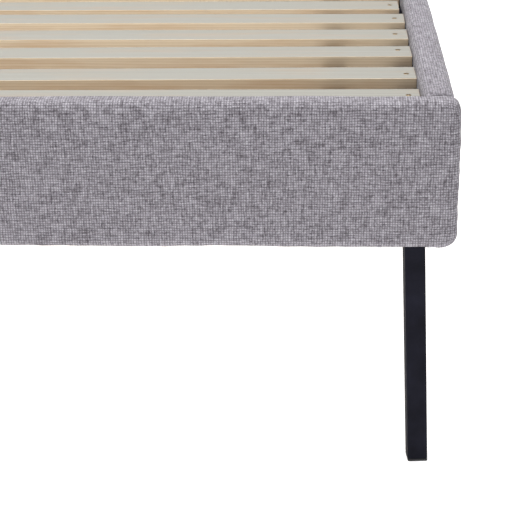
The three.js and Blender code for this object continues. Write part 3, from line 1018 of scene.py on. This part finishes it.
def strap_sag(places, middle_x):
    """How far a strap hangs below the slats at each place along the bed: nothing under a slat."""
    deepest = 1.6 * MM
    sag = np.zeros(len(places))
    lies = [SlatLie(node) for node in SLATS]
    for before, after in zip(lies, lies[1:]):
        start = before.place(middle_x, before.width / 2, 0).translation.y
        stop = after.place(middle_x, -after.width / 2, 0).translation.y
        part = np.clip((places - start) / (stop - start), 0, 1)
        sag = np.maximum(sag, np.sin(part * math.pi) * deepest)
    return sag


# ---- Fasteners ----

PAN_HEAD_HEIGHT = 2.4 * MM
PAN_HEAD_PROUD = 2 * MM


def screw_head(radius, height, dome):
    """A round screw head with a cross recess, upright with its top at the origin."""
    head = add_rod("screw_head", (0, 0, -height), radius, height, sides=24)
    bevel(head, dome, 3)
    slot_length, slot_width, slot_depth = radius * 0.55, radius * 0.14, height * 0.55
    for turn in (0, 90):
        bar = add_block("cross_slot", (-slot_length, -slot_width, -slot_depth), (slot_length, slot_width, MM))
        bar.data.transform(turn_about_z(turn))
        cut_away(head, bar)
    smooth(head, 40)
    return head


def hex_head(radius, height):
    """A hexagon bolt head on a washer, upright with the washer's underside at the origin."""
    washer = add_rod("washer", (0, 0, 0), radius * 1.5, 1.2 * MM, sides=24)
    bevel(washer, 0.3 * MM, 1)
    head = add_rod("hexagon", (0, 0, 1.1 * MM), radius, height, sides=6)
    bevel(head, 0.5 * MM, degrees=40)
    bolt = join_pieces("bolt_head", [washer, head])
    smooth(bolt, 35)
    return bolt


def staple():
    """A flat wire staple seen from its crown, upright with its crown on the origin."""
    crown, wire, thick, leg = 9 * MM, 0.9 * MM, 0.6 * MM, 1.5 * MM
    crown_bar = add_block("staple_crown", (-crown / 2, -wire / 2, 0), (crown / 2, wire / 2, thick))
    legs = [
        add_block("staple_leg", (x - wire / 2, -wire / 2, -leg), (x + wire / 2, wire / 2, 0.1 * MM))
        for x in (-crown / 2 + wire / 2, crown / 2 - wire / 2)
    ]
    return join_pieces("staple", [crown_bar, *legs])


def facing(direction):
    """The turn that takes an upright piece to face a direction."""
    return Vector(direction).to_track_quat("Z", "Y").to_matrix().to_4x4()


def aimed(spot, direction, proud=0.0):
    """The matrix that puts an upright piece on a spot, facing a direction and standing out by a distance."""
    return Matrix.Translation(spot) @ facing(direction) @ Matrix.Translation((0, 0, proud))


def pan_head():
    """The pan-head screw that holds the plates and the ledges."""
    return screw_head(4.2 * MM, PAN_HEAD_HEIGHT, 1.2 * MM)


def fasten(name, master, places, material="zinc"):
    """Copies a fastener to its places and finishes the copies as one piece."""
    finish_piece(spread(name, master, places), MATERIALS[material])


class BED_OT_drive_fasteners(bpy.types.Operator):
    """Drives the screws, bolts and staples"""

    bl_idname = "bed.drive_fasteners"
    bl_label = "Drive the fasteners"

    def execute(self, context):
        rng = random.Random(11)
        self.slat_screws(rng)
        self.plate_screws()
        self.bracket_bolts()
        self.ledge_screws()
        self.hanger_bolts()
        self.cover_staples(rng)
        self.strap_staples()
        return {"FINISHED"}

    def slat_screws(self, rng):
        """One countersunk screw near each slat end, driven by hand."""
        from_end, scatter = 12 * MM, 3 * MM
        places = []
        for node in SLATS:
            lie = SlatLie(node)
            for end in (-1, 1):
                along = end * (lie.length / 2 - from_end + rng.uniform(-scatter, scatter))
                place = lie.place(along, rng.uniform(-scatter, scatter) * 2, SLAT_TOP + 0.25 * MM)
                places.append(place @ turn_about_z(rng.uniform(0, 90)))
        fasten("slat_screws", screw_head(3.2 * MM, 2 * MM, 0.4 * MM), places, "yellow_zinc")

    def plate_screws(self):
        """Four pan-head screws through each leg plate, up into the rails' boards."""
        from_board_middle, from_side, along_side = 4 * MM, 14 * MM, (-12 * MM, -34 * MM)
        places = []
        for end, side in CORNERS:
            low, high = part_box(f"leg_{end}_{side}")
            rail_low, rail_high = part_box(f"{end}_rail_core")
            side_low, side_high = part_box(f"{side}_rail_core")
            end_y = (rail_low.y + rail_high.y) / 2 - ENDS[end] * from_board_middle
            side_x = (side_low.x + side_high.x) / 2 - SIDES[side] * from_board_middle
            inner_y = high.y if end == "foot" else low.y
            spots = [(x, end_y) for x in (low.x + from_side, high.x - from_side)]
            spots += [(side_x, inner_y - ENDS[end] * shift) for shift in along_side]
            places += [aimed((x, y, high.z - LEG_PLATE), (0, 0, -1), PAN_HEAD_PROUD) for x, y in spots]
        fasten("leg_plate_screws", pan_head(), places)

    def bracket_bolts(self):
        """Two bolts through each flange of the corner brackets."""
        from_edge = 15 * MM
        places = []
        for end, side in CORNERS:
            low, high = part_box(f"corner_bracket_{end}_{side}")
            inner_x = high.x - BRACKET_PLATE if side == "right" else low.x + BRACKET_PLATE
            inner_y = high.y - BRACKET_PLATE if end == "head" else low.y + BRACKET_PLATE
            middle_x, middle_y = (low.x + high.x) / 2, (low.y + high.y) / 2
            for z in (low.z + from_edge, high.z - from_edge):
                places.append(aimed((inner_x, middle_y, z), (-SIDES[side], 0, 0)))
                places.append(aimed((middle_x, inner_y, z), (0, -ENDS[end], 0)))
        fasten("corner_bracket_bolts", hex_head(5.5 * MM, 4 * MM), places)

    def ledge_screws(self):
        """Screws along the ledges, into the side rails' boards."""
        count, from_end, below_middle = 9, 0.05, 3 * MM
        places = []
        for side, sign in SIDES.items():
            low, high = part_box(f"{side}_slat_ledge")
            inner_x = (high.x if sign > 0 else low.x) - sign * LEDGE_PLATE
            step = (high.y - low.y - 2 * from_end) / (count - 1)
            for number in range(count):
                spot = (inner_x, low.y + from_end + number * step, (low.z + high.z) / 2 - below_middle)
                places.append(aimed(spot, (-sign, 0, 0), PAN_HEAD_PROUD))
        fasten("ledge_screws", pan_head(), places)

    def hanger_bolts(self):
        """Four screws through each hanger's back plate, and two bolts under each centre leg plate."""
        from_side, from_edge = 8 * MM, 9 * MM
        places = []
        for end, sign in ENDS.items():
            low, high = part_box(f"beam_hanger_{end}")
            inner_y = (high.y if sign > 0 else low.y) - sign * HANGER_PLATE
            for x in (low.x + from_side, high.x - from_side):
                for z in (low.z + from_edge, high.z - from_edge):
                    places.append(aimed((x, inner_y, z), (0, -sign, 0)))
        for number in (1, 2):
            low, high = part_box(f"center_leg_{number}")
            for y in (low.y + from_side, high.y - from_side):
                places.append(aimed((0, y, high.z - CENTER_LEG_PLATE), (0, 0, -1)))
        fasten("beam_bolts", hex_head(4.2 * MM, 3 * MM), places)

    def cover_staples(self, rng):
        """Staples along both edges of each cover's inner opening."""
        spacing, from_edge = 38 * MM, 7 * MM
        places = []
        for side in RAILS:
            rail = RailShape(side)
            reach = rail.size[rail.along] / 2 - OPENING_END_MARGIN - 15 * MM
            count = int(2 * reach / spacing)
            inner = corner_vector(rail, 0, -rail.size[rail.across] / 2, 0)
            for z in (OPENING_LOW - from_edge, OPENING_HIGH + from_edge):
                for number in range(count + 1):
                    along = -reach + number * 2 * reach / count + rng.uniform(-4, 4) * MM
                    spot = rail.middle + inner + corner_vector(rail, along, 0, z - rail.middle.z)
                    turn = facing(corner_vector(rail, 0, -1, 0)) @ turn_about_z(rng.uniform(-12, 12))
                    places.append(Matrix.Translation(spot) @ turn)
        fasten("cover_staples", staple(), places)

    def strap_staples(self):
        """Two staples through each strap into each slat."""
        places = []
        for side in SIDES:
            strap_low, strap_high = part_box(f"{side}_slat_strap")
            middle_x = (strap_low.x + strap_high.x) / 2
            for node in SLATS:
                lie = SlatLie(node)
                for across in (-10 * MM, 10 * MM):
                    places.append(lie.place(middle_x, across, strap_low.z) @ facing((0, 0, -1)))
        fasten("strap_staples", staple(), places)


# ---- Stage ----


class BED_OT_set_stage(bpy.types.Operator):
    """Sets up the camera, the lights and the floor"""

    bl_idname = "bed.set_stage"
    bl_label = "Set the stage"

    def execute(self, context):
        look = context.scene.bed_stage
        self.camera(context, look)
        self.lights(context, look)
        self.floor(look)
        return {"FINISHED"}

    def camera(self, context, look):
        """A long lens that looks down on the bed's right corner at its foot end."""
        bpy.ops.object.camera_add(location=look.place)
        camera = context.object
        camera.name = "camera"
        camera.data.sensor_width = 36.0
        camera.data.lens = look.lens
        camera.data.clip_end = 50.0
        heading = Matrix.Rotation(look.turn, 4, "Z")
        tilt = Matrix.Rotation(math.pi / 2 - look.pitch, 4, "X")
        tip = Matrix.Rotation(-look.roll, 4, "Z")
        camera.matrix_world = Matrix.Translation(look.place) @ heading @ tilt @ tip
        context.scene.camera = camera

    def lights(self, context, look):
        """Softboxes above and in front, in a white room."""
        boxes = (
            ("overhead_softbox", look.overhead, (0.2, -0.7, 3.1), (0.2, -0.7, 0.3), 2.4),
            ("front_softbox", look.front, (-1.0, -4.4, 3.4), (0.3, -0.8, 0.3), 2.2),
        )
        for name, power, place, target, size in boxes:
            bpy.ops.object.light_add(type="AREA", location=place)
            light = context.object
            light.name = name
            light.data.shape = "SQUARE"
            light.data.size = size
            light.data.energy = power
            light.rotation_euler = (Vector(target) - Vector(place)).to_track_quat("-Z", "Y").to_euler()
        world = bpy.data.worlds.new("white_room")
        world.use_nodes = True
        background = world.node_tree.nodes["Background"]
        background.inputs["Color"].default_value = (1.0, 1.0, 1.0, 1.0)
        background.inputs["Strength"].default_value = look.sky
        context.scene.world = world
        context.scene.view_settings.view_transform = "Standard"

    def floor(self, look):
        """A wide pale floor, lit a little from inside like a product table."""
        bpy.ops.object.select_all(action="DESELECT")
        bpy.ops.mesh.primitive_plane_add(size=60)
        floor = bpy.context.object
        floor.name = "floor"
        graph = Graph("pale_studio_floor")
        floor.data.materials.append(graph.surface(linear("#FAFAFA"), 0.9, {
            "Specular IOR Level": 0.1,
            "Emission Color": linear("#FFFFFF"),
            "Emission Strength": look.floor_glow,
        }))


def prepare_materials(scene):
    """Makes every material from the settings."""
    timber = scene.bed_timber
    MATERIALS.update(
        linen=linen_weave(scene.bed_fabric),
        # The planed top and the sawn faces are one pine in two colours, set apart as painted light; the sawn
        # faces also take more of the warm streaks.
        planed=pine(timber, "planed_pine", timber.pale, timber.ring, 0.55, 0.28),
        sawn=pine(timber, "sawn_pine", timber.sawn, timber.sawn_ring, 0.75, 0.55),
        coat=powder_coat(scene.bed_steel),
        board=particle_board(),
        webbing=strap_webbing(),
        zinc=plated_steel("zinc_plated_steel", "#D2D4D6", "#9DA0A4"),
        yellow_zinc=plated_steel("yellow_passivated_steel", "#A98F66", "#7E6440"),
        plastic=moulded_plastic(),
    )


class BED_OT_finish_cores(bpy.types.Operator):
    """Gives the boards inside the rails their pressed-chip surface"""

    bl_idname = "bed.finish_cores"
    bl_label = "Finish the boards"

    def execute(self, context):
        for side in RAILS:
            refine(f"{side}_rail_core", f"{side}_rail_board", 0.8 * MM, MATERIALS["board"])
        return {"FINISHED"}


# ---- Panel and registration ----

GROUPS = {
    "bed_fabric": BedFabricSettings,
    "bed_timber": BedTimberSettings,
    "bed_steel": BedSteelSettings,
    "bed_stage": BedStageSettings,
}

STEPS = ("finish_cores", "upholster", "lay_slats", "fit_straps", "finish_steel", "finish_plastic",
         "drive_fasteners", "set_stage")


class BED_PT_panel(bpy.types.Panel):
    """Lists the bed frame's settings and steps"""

    bl_label = "Bed Frame"
    bl_idname = "BED_PT_panel"
    bl_space_type = "VIEW_3D"
    bl_region_type = "UI"
    bl_category = "Bed Frame"

    def draw(self, context):
        layout = self.layout
        for group in GROUPS:
            settings = getattr(context.scene, group)
            box = layout.box()
            for name in settings.__annotations__:
                box.prop(settings, name)
        for step in STEPS:
            layout.operator(f"bed.{step}")


CLASSES = (
    *GROUPS.values(),
    BED_OT_finish_cores,
    BED_OT_upholster,
    BED_OT_lay_slats,
    BED_OT_fit_straps,
    BED_OT_finish_steel,
    BED_OT_finish_plastic,
    BED_OT_drive_fasteners,
    BED_OT_set_stage,
    BED_PT_panel,
)


def register():
    """Registers the classes and their settings."""
    for cls in CLASSES:
        bpy.utils.register_class(cls)
    for name, group in GROUPS.items():
        setattr(bpy.types.Scene, name, bpy.props.PointerProperty(type=group))


def unregister():
    """Removes the settings and the classes."""
    for name in GROUPS:
        delattr(bpy.types.Scene, name)
    for cls in reversed(CLASSES):
        bpy.utils.unregister_class(cls)


def main():
    """Builds every group of pieces and the stage."""
    register()
    prepare_materials(bpy.context.scene)
    for step in STEPS:
        getattr(bpy.ops.bed, step)()


if __name__ == "__main__":
    main()
